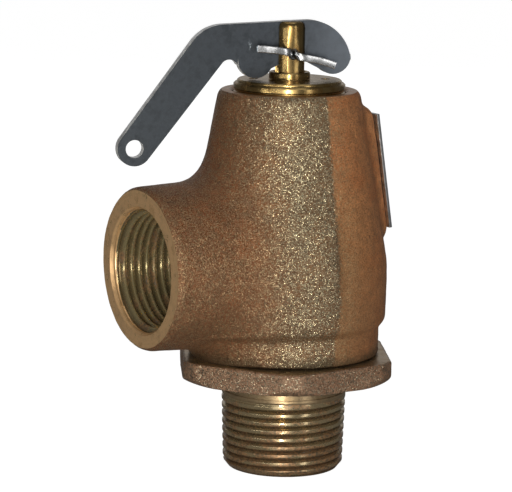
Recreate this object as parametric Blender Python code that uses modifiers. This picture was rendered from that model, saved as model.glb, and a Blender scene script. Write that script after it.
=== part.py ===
"""Bronze pressure relief valve, 1 inch male inlet by 1 inch female outlet, with a test lever.

The origin is the centre of the inlet's end face. +Z runs up the stem and the outlet faces -X.
Sizes are in metres. Heights are measured from the inlet's end face.
"""

from math import asin, cos, pi, radians, sin, sqrt

import bmesh
import bpy
from mathutils import Matrix, Vector

MM = 0.001
GAP = 0.3 * MM
FINE, MEDIUM = 40, 28

# 1 inch NPT thread
THREAD_PITCH = 2.209 * MM
THREAD_DEPTH = 1.4 * MM
THREAD_TAPER = 1 / 32
PIPE_RADIUS = 16.7 * MM
MALE_END_RADIUS = 16.2 * MM
MALE_THREADS = 8
FEMALE_MOUTH_RADIUS = 16.4 * MM
FEMALE_THREADS = 7

# inlet nozzle
INLET_BORE = 12.6 * MM
SHOULDER_Z = 25.3 * MM
FLANGE_TOP = 31.4 * MM
HEX_ACROSS_FLATS = 55.6 * MM
HEX_CORNER_RADIUS = 30.7 * MM
HEX_TURN = 3.0  # degrees that the hexagon's corners sit past the X axis
CHAMFER_RADIUS = 28.9 * MM
SPIGOT_RADIUS = 20.6 * MM
SPIGOT_TOP = 39.2 * MM
SEAT_TUBE_RADIUS = 15.6 * MM
SEAT_Z = 44.0 * MM

# body casting
BODY_BOTTOM = 31.7 * MM
GASKET_SEAT_Z = 33.0 * MM
GASKET_SEAT_RADIUS = 24.0 * MM
BODY_TOP = 102.3 * MM
NECK_RADIUS = 25.4 * MM
BELLY_RADIUS = 27.2 * MM
BELLY_BOTTOM = 41.3 * MM
BELLY_TOP = 57.0 * MM
RIM_RADIUS = 18.95 * MM
CONE_SLOPE = 0.1833
TOP_BORE = 15.25 * MM

# outlet boss
OUTLET_Z = 57.2 * MM
OUTLET_BORE_Z = 56.8 * MM  # the cored bore sits a little low in its boss
OUTLET_FACE_X = -44.56 * MM
BOSS_FACE_RADIUS = 21.5 * MM
BOSS_ROOT_RADIUS = 22.2 * MM
OUTLET_BORE = 14.4 * MM

# nameplate and the pad under it
PAD_TILT = 9.2
PAD_SIZE = (8 * MM, 21.4 * MM, 35.2 * MM)
PAD_DROP = 0.2 * MM  # how far the pad's middle lies below the plate's
PLATE_SIZE = (0.8 * MM, 22 * MM, 31.4 * MM)
PLATE_OUTER_X = 24.15 * MM
PLATE_Z = 80.5 * MM
DRIVE_SCREW_OFFSET = 12.5 * MM

# compression screw
SCREW_BOTTOM = 94.6 * MM
SCREW_STEP_Z = 104.3 * MM
SCREW_TOP = 105.2 * MM
SCREW_RADIUS = 14.9 * MM
SCREW_TIER_RADIUS = 13.95 * MM
SCREW_HUB_RADIUS = 5.5 * MM
SCREW_HUB_TOP = 107.2 * MM
SPANNER_HOLE_RADIUS = 1.3 * MM
SPANNER_PITCH_RADIUS = 9.6 * MM
SPANNER_ANGLE = -26

# stem, lever and cotter pin
STEM_RADIUS = 3.97 * MM
STEM_HOLE = 4.3 * MM
STEM_BOTTOM = 55.2 * MM
STEM_TOP = 120.6 * MM
SLOT_BOTTOM = 106.4 * MM
PIN_X = 3.55 * MM  # the disc's retaining pin, beside the stem in its lower groove
PIN_Z = 57.9 * MM
LEVER_THICKNESS = 3.0 * MM
LEVER_AZIMUTH = 163.7
PIVOT_Z = 112.1 * MM
COTTER_HOLE = 1.55 * MM
COTTER_WIRE = 0.5 * MM
LEVER_ARM_ANGLE = -53.4
LEVER_ARM_WIDTH = 9.2 * MM
PULL_HOLE = (42.1 * MM, -24.8 * MM)  # from the pivot, along the handle and up
LEVER_HOLE_RADIUS = 2.38 * MM

# spring and the pieces it works between
SPRING_BOTTOM = 65.7 * MM
SPRING_TOP = 91.0 * MM
SPRING_RADIUS = 11.5 * MM
SPRING_WIRE = 1.6 * MM
SPRING_TURNS = 4.5

COLOURS = {
    "bronze": ((0.35, 0.19, 0.11), 0.5),
    "flange_bronze": ((0.42, 0.27, 0.2), 0.5),
    "brass": ((0.72, 0.5, 0.2), 0.25),
    "zinc_steel": ((0.2, 0.22, 0.24), 0.3),
    "bright_steel": ((0.75, 0.76, 0.78), 0.2),
    "spring_steel": ((0.35, 0.36, 0.38), 0.35),
    "aluminium": ((0.8, 0.8, 0.8), 0.35),
    "seat_plastic": ((0.9, 0.9, 0.88), 0.6),
    "gasket_fibre": ((0.12, 0.1, 0.09), 0.8),
}


def clear_scene():
    for obj in list(bpy.data.objects):
        bpy.data.objects.remove(obj, do_unlink=True)
    for collection in list(bpy.data.collections):
        bpy.data.collections.remove(collection)


def new_collection(name, hidden=False):
    collection = bpy.data.collections.new(name)
    bpy.context.scene.collection.children.link(collection)
    collection.hide_render = hidden
    return collection


def material(name):
    if name in bpy.data.materials:
        return bpy.data.materials[name]
    colour, roughness = COLOURS[name]
    made = bpy.data.materials.new(name)
    made.use_nodes = True
    shader = made.node_tree.nodes["Principled BSDF"]
    shader.inputs["Base Color"].default_value = (*colour, 1)
    shader.inputs["Roughness"].default_value = roughness
    shader.inputs["Metallic"].default_value = 0 if name in ("seat_plastic", "gasket_fibre") else 1
    return made


def placed(name, data, collection, finish=None, matrix=Matrix()):
    obj = bpy.data.objects.new(name, data)
    collection.objects.link(obj)
    obj.matrix_world = matrix
    if finish:
        data.materials.append(material(finish))
    if collection.hide_render:
        obj.hide_render = True
        obj.display_type = "WIRE"
    return obj


def turned(name, profile, collection, finish=None, steps=MEDIUM, matrix=Matrix()):
    """A solid of revolution about Z. The profile of (radius, height) runs down its outer side.

    A profile whose ends are off the axis is closed into a ring.
    """
    mesh = bpy.data.meshes.new(name)
    last = len(profile) - 1
    edges = [(i, i + 1) for i in range(last)]
    if profile[0][0] > GAP:
        edges.append((last, 0))
    mesh.from_pydata([(r, 0, z) for r, z in profile], edges, [])
    obj = placed(name, mesh, collection, finish, matrix)
    screw = obj.modifiers.new("Turn", "SCREW")
    screw.steps = screw.render_steps = steps
    screw.use_merge_vertices = True
    screw.merge_threshold = 1e-6
    return obj


def box(name, size, collection, finish=None, matrix=Matrix(), bevel=0.0):
    mesh = bpy.data.meshes.new(name)
    shape = bmesh.new()
    bmesh.ops.create_cube(shape, size=1)
    bmesh.ops.scale(shape, vec=size, verts=shape.verts)
    shape.to_mesh(mesh)
    shape.free()
    obj = placed(name, mesh, collection, finish, matrix)
    if bevel:
        rounding = obj.modifiers.new("Round edges", "BEVEL")
        rounding.width = bevel
        rounding.segments = 3
    return obj


def outline(name, points, thickness, collection, finish=None, matrix=Matrix(), holes=()):
    """A flat plate from its outline and holes in its own XY plane, as a closed mesh."""
    curve = bpy.data.curves.new(name, "CURVE")
    curve.dimensions = "2D"
    curve.fill_mode = "BOTH"
    curve.extrude = thickness / 2
    for loop in (points, *holes):
        spline = curve.splines.new("POLY")
        spline.points.add(len(loop) - 1)
        for point, (x, y) in zip(spline.points, loop):
            point.co = (x, y, 0, 1)
        spline.use_cyclic_u = True
    return as_mesh(placed(name, curve, collection), finish, matrix)


def wire(name, points, radius, collection, finish=None, matrix=Matrix(), resolution=2):
    curve = bpy.data.curves.new(name, "CURVE")
    curve.dimensions = "3D"
    curve.bevel_depth = radius
    curve.bevel_resolution = resolution
    curve.use_fill_caps = True
    spline = curve.splines.new("POLY")
    spline.points.add(len(points) - 1)
    for point, co in zip(spline.points, points):
        point.co = (*co, 1)
    return as_mesh(placed(name, curve, collection), finish, matrix)


def as_mesh(curve_object, finish, matrix):
    """Replaces a curve object by a closed mesh object of the same name."""
    graph = bpy.context.evaluated_depsgraph_get()
    mesh = bpy.data.meshes.new_from_object(curve_object.evaluated_get(graph))
    shape = bmesh.new()
    shape.from_mesh(mesh)
    bmesh.ops.remove_doubles(shape, verts=shape.verts, dist=1e-6)
    bmesh.ops.recalc_face_normals(shape, faces=shape.faces)
    shape.to_mesh(mesh)
    shape.free()
    mesh.materials.clear()
    name, collection = curve_object.name, curve_object.users_collection[0]
    bpy.data.objects.remove(curve_object, do_unlink=True)
    return placed(name, mesh, collection, finish, matrix)


def combine(obj, operation, *others):
    for other in others:
        modifier = obj.modifiers.new(f"{operation.title()} {other.name}", "BOOLEAN")
        modifier.operation = operation
        modifier.object = other
        modifier.solver = "EXACT"
    return obj


def along_x(z):
    """Turns a profile's +Z to -X, with its zero height on the valve's axis, at a height z."""
    return Matrix.Translation((0, 0, z)) @ Matrix.Rotation(-pi / 2, 4, "Y")


def arc(centre, radius, start, end, steps=8):
    """Points on an arc, from one angle to another in degrees, counterclockwise if end > start."""
    angles = [radians(start + (end - start) * i / steps) for i in range(steps + 1)]
    return [(centre[0] + radius * cos(a), centre[1] + radius * sin(a)) for a in angles]


def thread_ridges(crest, height, count, depth, taper):
    """A turned thread's profile going down from a height: flat crests and one root between each."""
    profile = []
    for turn in range(count):
        z = height - turn * THREAD_PITCH
        radius = crest + taper * z
        profile.append((radius, z))
        profile.append((radius, z - 0.35 * THREAD_PITCH))
        profile.append((radius - depth, z - 0.68 * THREAD_PITCH))
    return profile


# The row of parts, from the inlet up


def inlet_nozzle(parts, cutters):
    """Screwed-in inlet: male pipe thread, hexagon, spigot and the seat, around one bore."""
    top_thread = 19.6 * MM
    chamfer_top = SHOULDER_Z + 1.7 * MM
    profile = [
        (INLET_BORE, SEAT_Z),
        (14.2 * MM, SEAT_Z),
        (14.2 * MM, SEAT_Z - 1.6 * MM),
        (SEAT_TUBE_RADIUS, SEAT_Z - 2.6 * MM),
        (SEAT_TUBE_RADIUS, SPIGOT_TOP),
        (SPIGOT_RADIUS - 0.6 * MM, SPIGOT_TOP),
        (SPIGOT_RADIUS, SPIGOT_TOP - 0.6 * MM),
        (SPIGOT_RADIUS, FLANGE_TOP),
        (HEX_CORNER_RADIUS, FLANGE_TOP),
        (HEX_CORNER_RADIUS, chamfer_top),
        (CHAMFER_RADIUS, SHOULDER_Z),
        (PIPE_RADIUS, SHOULDER_Z),
        (PIPE_RADIUS, top_thread + 0.9 * MM),
        (PIPE_RADIUS - THREAD_DEPTH, top_thread + 0.4 * MM),
    ]
    profile += thread_ridges(MALE_END_RADIUS, top_thread, MALE_THREADS, THREAD_DEPTH, THREAD_TAPER)
    profile += [
        (15.4 * MM, 1.2 * MM),
        (14.9 * MM, 0),
        (INLET_BORE, 0),
    ]
    nozzle = turned("inlet_nozzle", profile, parts, "flange_bronze", FINE)
    mesh = bpy.data.meshes.new("hexagon")
    shape = bmesh.new()
    corner = HEX_ACROSS_FLATS / sqrt(3)
    bmesh.ops.create_cone(
        shape, cap_ends=True, segments=6, radius1=corner, radius2=corner, depth=0.12
    )
    turn = radians(HEX_TURN + 90)
    bmesh.ops.rotate(shape, verts=shape.verts, matrix=Matrix.Rotation(turn, 3, "Z"))
    shape.to_mesh(mesh)
    shape.free()
    hexagon = placed("hexagon", mesh, cutters, matrix=Matrix.Translation((0, 0, 0.03)))
    return combine(nozzle, "INTERSECT", hexagon)


def nozzle_gasket(parts):
    low, high = FLANGE_TOP + GAP, GASKET_SEAT_Z - GAP
    profile = [(21.2 * MM, high), (23.7 * MM, high), (23.7 * MM, low), (21.2 * MM, low)]
    return turned("nozzle_gasket", profile, parts, "gasket_fibre", FINE)


def boss_profile():
    """The outlet boss, with its zero height at the valve's axis and its face at the top."""
    reach = -OUTLET_FACE_X
    return [
        (0, reach),
        (BOSS_FACE_RADIUS - 0.9 * MM, reach),
        (BOSS_FACE_RADIUS, reach - 0.8 * MM),
        (BOSS_ROOT_RADIUS, 26 * MM),
        (BOSS_ROOT_RADIUS, 6 * MM),
        (0, 6 * MM),
    ]


def outlet_bore_profile():
    """The outlet's threaded bore as a cutter, on the same axis as the boss."""
    reach = -OUTLET_FACE_X
    first = reach - 2.4 * MM
    profile = [
        (0, reach + 2 * MM),
        (FEMALE_MOUTH_RADIUS + 0.4 * MM, reach + 2 * MM),
        (FEMALE_MOUTH_RADIUS + 0.4 * MM, reach - 0.4 * MM),
        (FEMALE_MOUTH_RADIUS, reach - 1.1 * MM),
    ]
    mouth = FEMALE_MOUTH_RADIUS - THREAD_TAPER * first
    profile += thread_ridges(mouth, first, FEMALE_THREADS, THREAD_DEPTH, THREAD_TAPER)
    end = first - FEMALE_THREADS * THREAD_PITCH
    profile += [(OUTLET_BORE, end), (OUTLET_BORE, 15 * MM), (0, 15 * MM)]
    return profile


def pad_matrix(out):
    """The nameplate pad's frame: X out of its face, with the origin that far inside the plate's face."""
    face = Matrix.Translation((PLATE_OUTER_X, 0, PLATE_Z)) @ Matrix.Rotation(radians(-PAD_TILT), 4, "Y")
    return face @ Matrix.Translation((-out, 0, 0))


def valve_body(parts, cutters):
    cone_top = BODY_TOP - 0.9 * MM
    shoulder = RIM_RADIUS + CONE_SLOPE * (cone_top - 61 * MM)
    outer = [
        (0, BODY_TOP),
        (RIM_RADIUS - 0.8 * MM, BODY_TOP),
        (RIM_RADIUS, cone_top),
        (shoulder, 61 * MM),
        (BELLY_RADIUS - 0.2 * MM, BELLY_TOP),
        (BELLY_RADIUS, 50 * MM),
        (BELLY_RADIUS, BELLY_BOTTOM),
        (NECK_RADIUS, 38.6 * MM),
        (NECK_RADIUS, BODY_BOTTOM),
        (0, BODY_BOTTOM),
    ]
    body = turned("valve_body", outer, parts, "bronze", FINE)
    boss = turned("outlet_boss", boss_profile(), cutters, steps=FINE, matrix=along_x(OUTLET_Z))
    inset = PLATE_SIZE[0] + GAP + PAD_SIZE[0] / 2
    place = pad_matrix(inset) @ Matrix.Translation((0, 0, -PAD_DROP))
    pad = box("nameplate_pad", PAD_SIZE, cutters, matrix=place, bevel=1.5 * MM)
    inner = [
        (0, BODY_TOP + 1 * MM),
        (TOP_BORE, BODY_TOP + 1 * MM),
        (TOP_BORE, 93.6 * MM),
        (16.8 * MM, 92.0 * MM),
        (20.9 * MM, 70 * MM),
        (23.2 * MM, 60 * MM),
        (23.2 * MM, 40.6 * MM),
        (SPIGOT_RADIUS + GAP, SPIGOT_TOP - 0.2 * MM),
        (SPIGOT_RADIUS + GAP, GASKET_SEAT_Z),
        (GASKET_SEAT_RADIUS, GASKET_SEAT_Z),
        (GASKET_SEAT_RADIUS, BODY_BOTTOM - 2 * MM),
        (0, BODY_BOTTOM - 2 * MM),
    ]
    cavity = turned("body_cavity", inner, cutters, steps=FINE)
    bore = turned("outlet_bore", outlet_bore_profile(), cutters, matrix=along_x(OUTLET_BORE_Z))
    combine(body, "UNION", boss, pad)
    combine(body, "DIFFERENCE", cavity, bore)
    for end in (1, -1):
        hole = [(0, 1 * MM), (1.3 * MM, 1 * MM), (1.3 * MM, -2.1 * MM), (0, -2.1 * MM)]
        place = drive_screw_matrix(end, PLATE_SIZE[0] + GAP)
        name = "screw_hole_upper" if end > 0 else "screw_hole_lower"
        combine(body, "DIFFERENCE", turned(name, hole, cutters, steps=12, matrix=place))
    return body


def drive_screw_matrix(end, inset):
    """A drive screw's frame, +Z out of the plate, on the plate's centre line."""
    offset = Matrix.Translation((0, 0, end * DRIVE_SCREW_OFFSET))
    return pad_matrix(inset) @ offset @ Matrix.Rotation(pi / 2, 4, "Y")


def nameplate(parts, cutters):
    matrix = pad_matrix(PLATE_SIZE[0] / 2)
    plate = box("nameplate", PLATE_SIZE, parts, "aluminium", matrix)
    for end in (1, -1):
        hole = [(0, 2 * MM), (1.3 * MM, 2 * MM), (1.3 * MM, -2 * MM), (0, -2 * MM)]
        name = "plate_hole_upper" if end > 0 else "plate_hole_lower"
        cutter = turned(name, hole, cutters, steps=16, matrix=drive_screw_matrix(end, 0))
        combine(plate, "DIFFERENCE", cutter)
    return plate


def drive_screws(parts):
    dome = [(0, 1.2), (0.9, 1.1), (1.6, 0.8), (1.9, 0.3), (1.0, 0.3), (1.0, -2.5), (0.7, -2.8), (0, -2.8)]
    profile = [(r * MM, z * MM) for r, z in dome]
    for end, name in ((1, "nameplate_screw_upper"), (-1, "nameplate_screw_lower")):
        turned(name, profile, parts, "bright_steel", 16, drive_screw_matrix(end, 0))


def compression_screw(parts, cutters):
    """The spring's adjusting screw: threaded plug, two tiers and a hub round the stem."""
    profile = [
        (STEM_HOLE, SCREW_HUB_TOP),
        (SCREW_HUB_RADIUS - 0.3 * MM, SCREW_HUB_TOP),
        (SCREW_HUB_RADIUS, SCREW_HUB_TOP - 0.3 * MM),
        (SCREW_HUB_RADIUS, SCREW_TOP),
        (SCREW_TIER_RADIUS - 0.3 * MM, SCREW_TOP),
        (SCREW_TIER_RADIUS, SCREW_TOP - 0.3 * MM),
        (SCREW_TIER_RADIUS, SCREW_STEP_Z),
        (SCREW_RADIUS, SCREW_STEP_Z),
        (SCREW_RADIUS, SCREW_BOTTOM + 0.6 * MM),
        (SCREW_RADIUS - 0.6 * MM, SCREW_BOTTOM),
        (STEM_HOLE, SCREW_BOTTOM),
    ]
    screw = turned("compression_screw", profile, parts, "brass", FINE)
    hole = [(0, 2 * MM), (SPANNER_HOLE_RADIUS, 2 * MM), (SPANNER_HOLE_RADIUS, -4 * MM), (0, -4 * MM)]
    for number, turn in enumerate((0, 180)):
        place = Matrix.Rotation(radians(SPANNER_ANGLE + turn), 4, "Z")
        place @= Matrix.Translation((SPANNER_PITCH_RADIUS, 0, SCREW_TOP))
        cutter = turned(f"spanner_hole_{number + 1}", hole, cutters, steps=16, matrix=place)
        combine(screw, "DIFFERENCE", cutter)
    return screw


def spring_steps(parts):
    """The two stepped washers that centre the spring's ends."""
    spigot = 8.9 * MM
    low, high = SPRING_BOTTOM - GAP, SPRING_TOP + GAP
    lower = [
        (STEM_HOLE, low + 2.0 * MM),
        (spigot, low + 2.0 * MM),
        (spigot, low),
        (14.0 * MM, low),
        (14.0 * MM, low - 3.1 * MM),
        (STEM_HOLE, low - 3.1 * MM),
    ]
    upper = [
        (STEM_HOLE, SCREW_BOTTOM - GAP),
        (13.6 * MM, SCREW_BOTTOM - GAP),
        (13.6 * MM, high),
        (spigot, high),
        (spigot, high - 1.8 * MM),
        (STEM_HOLE, high - 1.8 * MM),
    ]
    turned("lower_spring_step", lower, parts, "zinc_steel")
    turned("upper_spring_step", upper, parts, "zinc_steel")


def valve_spring(parts):
    """A compression spring with a closed turn at each end."""
    closed_turns = 0.75
    closed_pitch = 2.1 * SPRING_WIRE
    rise = SPRING_TOP - SPRING_BOTTOM - 2 * SPRING_WIRE
    open_pitch = (rise - 2 * closed_turns * closed_pitch) / (SPRING_TURNS - 2 * closed_turns)
    count = round(SPRING_TURNS * 16)
    points = []
    for i in range(count + 1):
        turn = SPRING_TURNS * i / count
        low_end = min(turn, closed_turns)
        high_end = max(0, turn - (SPRING_TURNS - closed_turns))
        z = closed_pitch * (low_end + high_end) + open_pitch * (turn - low_end - high_end)
        angle = 2 * pi * turn
        x, y = SPRING_RADIUS * cos(angle), SPRING_RADIUS * sin(angle)
        points.append((x, y, SPRING_BOTTOM + SPRING_WIRE + z))
    return wire("valve_spring", points, SPRING_WIRE, parts, "spring_steel")


def disc_parts(parts, cutters):
    """What closes the seat: the holder, its soft ring, the winged guide, its screw and the ball."""
    holder = [
        (0, 50.6 * MM),
        (STEM_HOLE, 50.6 * MM),
        (STEM_HOLE, 60.0 * MM),
        (7.3 * MM, 60.0 * MM),
        (7.5 * MM, 59.8 * MM),
        (7.5 * MM, 51.5 * MM),
        (16.4 * MM, 49.8 * MM),
        (17.0 * MM, 49.2 * MM),
        (17.0 * MM, 45.0 * MM),
        (15.5 * MM, 45.0 * MM),
        (15.5 * MM, 46.6 * MM),
        (0, 46.6 * MM),
    ]
    disc_holder = turned("disc_holder", holder, parts, "brass", FINE)
    tap = [(0, 49.2 * MM), (2.5 * MM, 48.8 * MM), (2.5 * MM, 45 * MM), (0, 45 * MM)]
    pin_hole = Matrix.Translation((PIN_X, 0, PIN_Z)) @ Matrix.Rotation(pi / 2, 4, "X")
    bore = [(0, 12 * MM), (1.0 * MM, 12 * MM), (1.0 * MM, -12 * MM), (0, -12 * MM)]
    combine(
        disc_holder,
        "DIFFERENCE",
        turned("guide_screw_tap", tap, cutters, steps=20),
        turned("pin_bore", bore, cutters, steps=16, matrix=pin_hole),
    )
    pin = [(0, 7.0 * MM), (0.65 * MM, 7.0 * MM), (0.65 * MM, -7.0 * MM), (0, -7.0 * MM)]
    turned("disc_retaining_pin", pin, parts, "bright_steel", 16, pin_hole)
    ring = [(8.3 * MM, 46.3 * MM), (15.1 * MM, 46.3 * MM), (15.1 * MM, 44.3 * MM), (8.3 * MM, 44.3 * MM)]
    turned("seat_disc", ring, parts, "seat_plastic")
    ball = [(2.0 * MM * cos(a), 52.9 * MM + 2.0 * MM * sin(a)) for a in quarter_turns()]
    turned("pivot_ball", ball, parts, "bright_steel", 16)
    wing_guide(parts, cutters)
    screw = [
        (0, 48.4 * MM),
        (1.8 * MM, 48.4 * MM),
        (2.2 * MM, 48.0 * MM),
        (2.2 * MM, 38.7 * MM),
        (4.0 * MM, 38.7 * MM),
        (4.0 * MM, 36.7 * MM),
        (3.6 * MM, 36.3 * MM),
        (0, 36.3 * MM),
    ]
    turned("guide_screw", screw, parts, "bright_steel", 20)


def quarter_turns(steps=10):
    """Angles from straight up to straight down, for a ball's profile. The ends lie on the axis."""
    return [pi / 2 - pi * i / steps for i in range(steps + 1)]


def wing_guide(parts, cutters):
    """The guide that keeps the disc central in the inlet bore: a hub with four wings."""
    hub = [
        (0, 46.3 * MM),
        (7.9 * MM, 46.3 * MM),
        (7.9 * MM, 44.0 * MM),
        (10.6 * MM, 44.0 * MM),
        (10.6 * MM, 42.2 * MM),
        (5.8 * MM, 41.0 * MM),
        (5.8 * MM, 36.0 * MM),
        (0, 36.0 * MM),
    ]
    guide = turned("wing_guide", hub, parts, "brass")
    wing_height = 13 * MM
    middle = Matrix.Translation((0, 0, 36.2 * MM))
    cross = box("wing_plate_a", (24 * MM, 2.2 * MM, wing_height), cutters, matrix=middle)
    other = box("wing_plate_b", (2.2 * MM, 24 * MM, wing_height), cutters, matrix=middle)
    bore = [(0, 47 * MM), (2.5 * MM, 47 * MM), (2.5 * MM, 39 * MM), (4.4 * MM, 39 * MM)]
    bore += [(4.4 * MM, 28 * MM), (0, 28 * MM)]
    sleeve = [(0, 48 * MM), (12.1 * MM, 48 * MM), (12.1 * MM, 28 * MM), (0, 28 * MM)]
    combine(guide, "UNION", cross, other)
    combine(guide, "INTERSECT", turned("guide_sleeve", sleeve, cutters, steps=FINE))
    combine(guide, "DIFFERENCE", turned("guide_bore", bore, cutters, steps=24))
    return guide


def stem(parts, cutters):
    """The round stem, grooved for its two retainers, slotted for the lever and cross drilled."""
    profile = [
        (0, STEM_TOP),
        (STEM_RADIUS - 0.8 * MM, STEM_TOP),
        (STEM_RADIUS - 0.2 * MM, STEM_TOP - 0.3 * MM),
        (STEM_RADIUS, STEM_TOP - 0.9 * MM),
        (STEM_RADIUS, 62.3 * MM),
        (2.7 * MM, 62.3 * MM),
        (2.7 * MM, 60.3 * MM),
        (STEM_RADIUS, 60.3 * MM),
        (STEM_RADIUS, PIN_Z + 1.0 * MM),
        (2.6 * MM, PIN_Z + 1.0 * MM),
        (2.6 * MM, PIN_Z - 1.0 * MM),
        (STEM_RADIUS, PIN_Z - 1.0 * MM),
        (STEM_RADIUS, STEM_BOTTOM + 0.5 * MM),
        (STEM_RADIUS - 0.5 * MM, STEM_BOTTOM),
        (0, STEM_BOTTOM),
    ]
    rod = turned("stem", profile, parts, "brass", MEDIUM)
    depth = STEM_TOP - SLOT_BOTTOM + 2 * MM
    size = (12 * MM, LEVER_THICKNESS + 2 * GAP, depth)
    turn = Matrix.Rotation(radians(LEVER_AZIMUTH), 4, "Z")
    place = Matrix.Translation((0, 0, SLOT_BOTTOM + depth / 2)) @ turn
    slot = box("lever_slot", size, cutters, matrix=place)
    hole = [(0, 8 * MM), (COTTER_HOLE, 8 * MM), (COTTER_HOLE, -8 * MM), (0, -8 * MM)]
    across = Matrix.Translation((0, 0, PIVOT_Z)) @ turn @ Matrix.Rotation(pi / 2, 4, "X")
    drill = turned("cotter_drill", hole, cutters, steps=20, matrix=across)
    return combine(rod, "DIFFERENCE", slot, drill)


def stem_retaining_ring(parts, cutters):
    """The open ring in the stem's groove that carries the lower spring step."""
    profile = [(3.0 * MM, 62.0 * MM), (6.6 * MM, 62.0 * MM), (6.6 * MM, 60.6 * MM), (3.0 * MM, 60.6 * MM)]
    ring = turned("stem_retaining_ring", profile, parts, "spring_steel", 28)
    gap = Matrix.Translation((5 * MM, 0, 61.3 * MM))
    return combine(ring, "DIFFERENCE", box("ring_gap", (8 * MM, 3 * MM, 4 * MM), cutters, matrix=gap))


def tangent_points(first, second, radius):
    """Where a fillet of this radius touches two lines, each a point and a direction in degrees.

    Returns the fillet's centre and its two angles. The fillet lies on the right of both lines.
    """
    shifted = []
    for (x, y), heading in (first, second):
        a = radians(heading)
        shifted.append((Vector((x + radius * sin(a), y - radius * cos(a))), Vector((cos(a), sin(a)))))
    (p, d), (q, e) = shifted
    along = (q - p).cross(e) / d.cross(e)
    return tuple(p + along * d), first[1] + 90, second[1] + 90


def lever_outline():
    """The lever's edge, clockwise, with the pivot at (0, 0) and the handle towards +X."""
    small = 4.8 * MM
    left_lobe = (9.7 * MM, -1.7 * MM)
    right_lobe = (-11.55 * MM, -0.8 * MM)
    back = ((-4.5 * MM, -3.2 * MM), 12.0 * MM)
    top_edge = ((0, 8.75 * MM), -3)
    arm = radians(LEVER_ARM_ANGLE)
    across = Vector((-sin(arm), cos(arm))) * LEVER_ARM_WIDTH / 2
    end = Vector(PULL_HOLE)
    outer_edge = (tuple(end + across), LEVER_ARM_ANGLE)
    inner_edge = (tuple(end - across), LEVER_ARM_ANGLE + 180)
    shoulder, start, stop = tangent_points(top_edge, outer_edge, 11 * MM)
    notch_radius = 2.4 * MM
    notch = Vector((16.9 * MM, -1.5 * MM)) - Vector((0, notch_radius))
    points = arc(back[0], back[1], 174, top_edge[1] + 90, 12)
    points += arc(shoulder, 11 * MM, start, stop, 8)
    points += arc(tuple(end), LEVER_ARM_WIDTH / 2, LEVER_ARM_ANGLE + 90, LEVER_ARM_ANGLE - 90, 10)
    points += arc(tuple(notch), notch_radius, LEVER_ARM_ANGLE + 90, 158, 6)
    points += arc(left_lobe, small, 8, -152, 12)
    points += [(1.6 * MM, -2.1 * MM), (-4.2 * MM, -2.2 * MM)]
    points += arc(right_lobe, small, -48, -186, 12)
    return points


def lever(parts, cutters):
    hole = arc((0, 0), COTTER_HOLE, 0, 342, 19)
    pull = arc(PULL_HOLE, LEVER_HOLE_RADIUS, 0, 345, 23)
    matrix = Matrix.Translation((0, 0, PIVOT_Z)) @ Matrix.Rotation(radians(LEVER_AZIMUTH), 4, "Z")
    matrix @= Matrix.Rotation(pi / 2, 4, "X")
    return outline("lever", lever_outline(), LEVER_THICKNESS, parts, "zinc_steel", matrix, (hole, pull))


def cotter_pin(parts):
    """The split pin: an eye behind the stem, two legs through it, bent apart in front.

    Its own X points along the handle, Y towards the legs' bent ends and Z up.
    """
    leg = 0.62 * MM
    front = STEM_RADIUS + 1.1 * MM
    eye_y, eye_radius = -7.2 * MM, 2.0 * MM
    start = pi - asin(leg / eye_radius)
    angles = [start * (1 - i / 7) for i in range(15)]
    eye = [(eye_radius * sin(a), eye_y - eye_radius * cos(a), 0) for a in angles]
    left = [(9.9 * MM, front, 1.7 * MM), (5.4 * MM, front, 1.3 * MM), (2.0 * MM, front, 0.8 * MM)]
    left += [(0.9 * MM, front - 0.6 * MM, 0.3 * MM), (leg, front - 1.6 * MM, 0)]
    right = [(-leg, front - 1.6 * MM, 0), (-0.9 * MM, front - 0.6 * MM, -0.3 * MM)]
    right += [(-2.0 * MM, front, -0.8 * MM), (-6.3 * MM, front, -1.5 * MM), (-11.2 * MM, front, -2.9 * MM)]
    points = left + eye + right
    matrix = Matrix.Translation((0, 0, PIVOT_Z)) @ Matrix.Rotation(radians(LEVER_AZIMUTH), 4, "Z")
    return wire("cotter_pin", points, COTTER_WIRE, parts, "bright_steel", matrix, resolution=1)


def smooth_round_faces(collection):
    """Fixes each part's modifiers into its mesh, and shades its round faces smooth."""
    graph = bpy.context.evaluated_depsgraph_get()
    made = {obj: bpy.data.meshes.new_from_object(obj.evaluated_get(graph)) for obj in collection.objects}
    for obj, mesh in made.items():
        obj.modifiers.clear()
        obj.data = mesh
        mesh.shade_smooth()
        mesh.set_sharp_from_angle(angle=radians(30))


def main():
    clear_scene()
    parts = new_collection("pressure_relief_valve")
    cutters = new_collection("cutters", hidden=True)
    inlet_nozzle(parts, cutters)
    nozzle_gasket(parts)
    valve_body(parts, cutters)
    nameplate(parts, cutters)
    drive_screws(parts)
    compression_screw(parts, cutters)
    spring_steps(parts)
    valve_spring(parts)
    disc_parts(parts, cutters)
    stem(parts, cutters)
    stem_retaining_ring(parts, cutters)
    lever(parts, cutters)
    cotter_pin(parts)
    bpy.context.view_layer.update()
    smooth_round_faces(parts)


main()
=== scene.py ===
"""Looks for the bronze pressure relief valve: sand-cast body, machined threads, brass, zinc and steel.

Sizes are in metres, in the CAD's frame: origin at the inlet's end face, +Z up the stem, outlet to -X.
The signed distance fields work in millimetres.
"""

from math import ceil, cos, pi, radians, sin

import bmesh
import bpy
import numpy as np
from mathutils import Matrix, Vector, noise

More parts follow.
